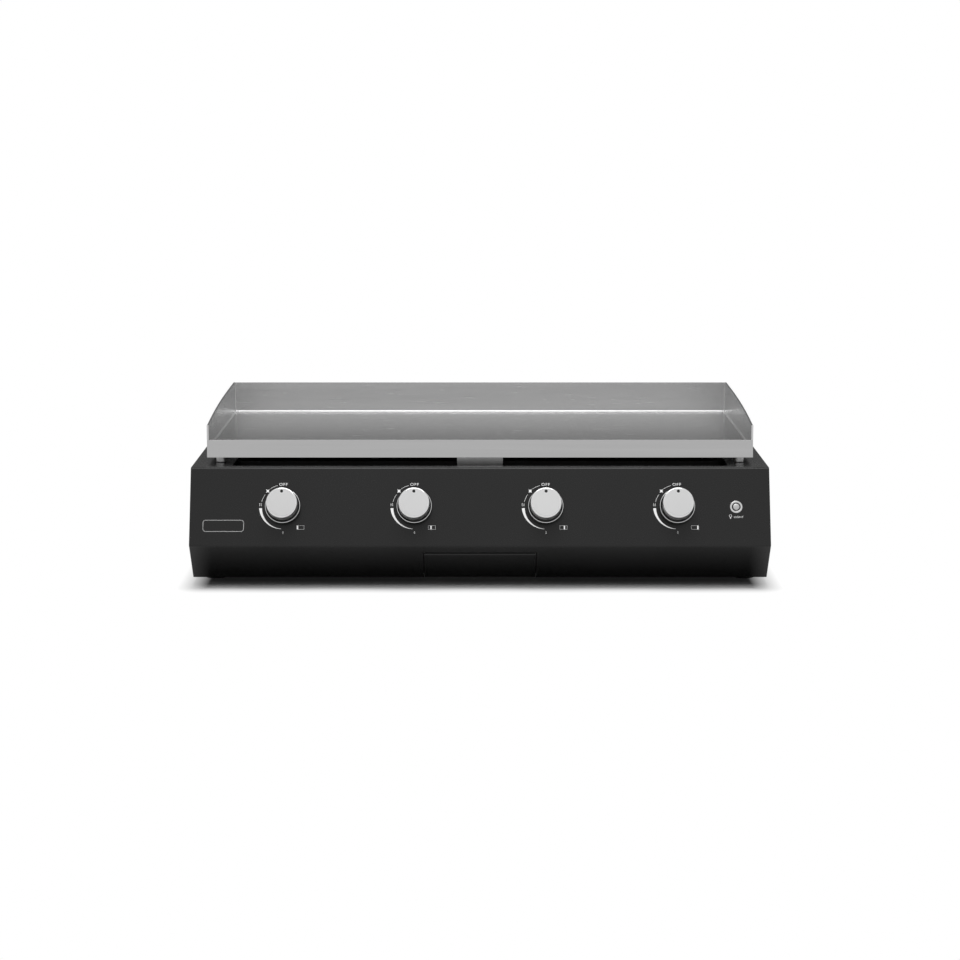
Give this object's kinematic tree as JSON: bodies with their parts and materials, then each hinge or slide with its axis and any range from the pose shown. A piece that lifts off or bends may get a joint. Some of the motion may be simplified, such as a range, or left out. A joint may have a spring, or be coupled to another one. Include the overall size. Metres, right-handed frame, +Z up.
{
  "type": "gas griddle",
  "caption": "Counter-top gas griddle: a shallow stainless cooking tray on pegs over a black folded-sheet housing with burner knobs, a light button and a pull-out grease drawer.",
  "frame": {"origin": "on the surface that the feet stand on, under the middle of the whole object", "axes": "+X to the cook's right along the width, +Y to the back, +Z up"},
  "size_m": [0.86, 0.584, 0.249],
  "materials": {
    "housing_black": "satin black powder coat",
    "griddle_steel": "brushed stainless plate",
    "sheet_steel": "plain zinc-coated sheet",
    "burner_steel": "drawn stainless tube",
    "supply_pipe": "drawn pipe",
    "brass": "turned brass",
    "foot_rubber": "matt black rubber",
    "screw_steel": "zinc-plated steel",
    "ceramic": "glazed white ceramic",
    "black_plastic": "moulded black plastic",
    "cable": "black insulated lead",
    "knob_satin": "satin metal with a bright bevel",
    "bezel": "bright rim over a black cup",
    "button_chrome": "bright plated ring",
    "button_cap": "translucent grey plastic"
  },
  "bodies": {
    "housing": {"front_panel": "housing_black", "left_side_panel": "housing_black", "right_side_panel": "housing_black", "rear_panel": "housing_black", "base_pan": "sheet_steel", "burner_tray": "sheet_steel", "burner_rail": "sheet_steel", "manifold_brackets": "sheet_steel", "drawer_runner_left": "sheet_steel", "drawer_runner_right": "sheet_steel", "burner_1": "burner_steel", "burner_2": "burner_steel", "burner_3": "burner_steel", "burner_4": "burner_steel", "gas_manifold": "supply_pipe", "gas_pipe": "supply_pipe", "gas_inlet": "brass", "tap_body_1": "brass", "tap_body_2": "brass", "tap_body_3": "brass", "tap_body_4": "brass", "rubber_feet": "foot_rubber", "foot_screws": "screw_steel", "rear_screws": "screw_steel", "button_nut": "screw_steel", "igniter_electrodes": "ceramic", "spark_units": "black_plastic", "battery_case": "black_plastic", "igniter_leads": "cable", "light_loom": "cable", "knob_bezel_1": "bezel", "knob_bezel_2": "bezel", "knob_bezel_3": "bezel", "knob_bezel_4": "bezel", "button_housing": "button_chrome"},
    "grease_drawer": {"drawer_front": "housing_black", "drawer_tray": "sheet_steel"},
    "griddle": {"griddle_pan": "griddle_steel", "griddle_side_left": "griddle_steel", "griddle_side_right": "griddle_steel", "griddle_front_rail": "griddle_steel", "griddle_pegs": "griddle_steel", "griddle_stiffeners": "griddle_steel", "grease_chute": "griddle_steel"},
    "light_button": {"button_cap": "button_cap"},
    "gas_plug_1": {"gas_plug_1": "brass"},
    "knob_1": {"knob_1": "knob_satin", "valve_stem_1": "brass"},
    "gas_plug_2": {"gas_plug_2": "brass"},
    "knob_2": {"knob_2": "knob_satin", "valve_stem_2": "brass"},
    "gas_plug_3": {"gas_plug_3": "brass"},
    "knob_3": {"knob_3": "knob_satin", "valve_stem_3": "brass"},
    "gas_plug_4": {"gas_plug_4": "brass"},
    "knob_4": {"knob_4": "knob_satin", "valve_stem_4": "brass"}
  },
  "joints": [
    {"name": "knob_1_turn", "type": "hinge", "parent": "housing", "child": "gas_plug_1", "pos_m": [-0.2919, -0.25408, 0.11967], "axis": [0, -0.9311, 0.3649], "range_deg": [0, 180]},
    {"name": "knob_1_push", "type": "slide", "parent": "gas_plug_1", "child": "knob_1", "axis": [0, 0.9311, -0.3649], "range_m": [0, 0.004], "stiffness_N_per_m": 800, "springref_m": -0.004},
    {"name": "knob_2_turn", "type": "hinge", "parent": "housing", "child": "gas_plug_2", "pos_m": [-0.0973, -0.25408, 0.11967], "axis": [0, -0.9311, 0.3649], "range_deg": [0, 180]},
    {"name": "knob_2_push", "type": "slide", "parent": "gas_plug_2", "child": "knob_2", "axis": [0, 0.9311, -0.3649], "range_m": [0, 0.004], "stiffness_N_per_m": 800, "springref_m": -0.004},
    {"name": "knob_3_turn", "type": "hinge", "parent": "housing", "child": "gas_plug_3", "pos_m": [0.0973, -0.25408, 0.11967], "axis": [0, -0.9311, 0.3649], "range_deg": [0, 180]},
    {"name": "knob_3_push", "type": "slide", "parent": "gas_plug_3", "child": "knob_3", "axis": [0, 0.9311, -0.3649], "range_m": [0, 0.004], "stiffness_N_per_m": 800, "springref_m": -0.004},
    {"name": "knob_4_turn", "type": "hinge", "parent": "housing", "child": "gas_plug_4", "pos_m": [0.2919, -0.25408, 0.11967], "axis": [0, -0.9311, 0.3649], "range_deg": [0, 180]},
    {"name": "knob_4_push", "type": "slide", "parent": "gas_plug_4", "child": "knob_4", "axis": [0, 0.9311, -0.3649], "range_m": [0, 0.004], "stiffness_N_per_m": 800, "springref_m": -0.004},
    {"name": "light_button_push", "type": "slide", "parent": "housing", "child": "light_button", "axis": [0, 0.9311, -0.3649], "range_m": [0, 0.002], "stiffness_N_per_m": 600, "springref_m": -0.002},
    {"name": "grease_drawer_slide", "type": "slide", "parent": "housing", "child": "grease_drawer", "axis": [0, -1, 0], "range_m": [0, 0.18]},
    {"name": "griddle_lift", "type": "slide", "parent": "housing", "child": "griddle", "axis": [0, 0, 1], "range_m": [0, 0.15]}
  ]
}
